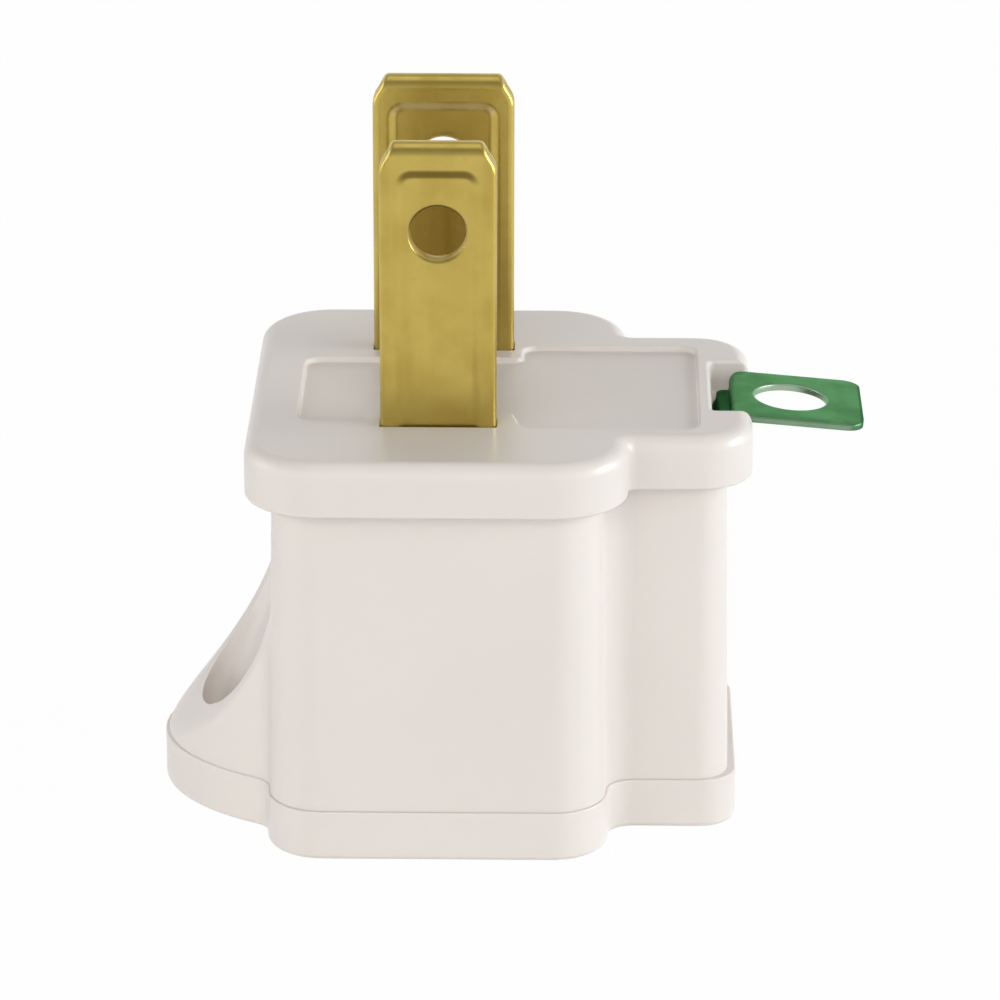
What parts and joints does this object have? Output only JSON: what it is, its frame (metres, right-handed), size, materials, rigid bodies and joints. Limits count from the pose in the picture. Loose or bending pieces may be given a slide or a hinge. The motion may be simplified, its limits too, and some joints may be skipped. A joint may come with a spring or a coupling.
{
  "type": "grounding plug adapter",
  "caption": "Moulded plug adapter with two flat brass blades, a receptacle face for a grounded plug, a green screw-hole lug and a dished finger grip.",
  "frame": {"origin": "centre of the receptacle face, midway between the two blades; the adapter stands on this face", "axes": "+Z from the receptacle face to the blade tips, +X towards the green lug, +Y towards the wide neutral blade"},
  "size_m": [0.0393, 0.0264, 0.0398],
  "materials": {
    "plastic": "warm white moulded plastic, satin gloss",
    "brass": "rolled brass strip",
    "green_metal": "green dyed metal strip"
  },
  "bodies": {
    "root": {"housing": "plastic", "receptacle_cover": "plastic", "hot_contact": "brass", "neutral_contact": "brass", "ground_tab": "green_metal", "ground_contact": "brass"}
  },
  "joints": []
}
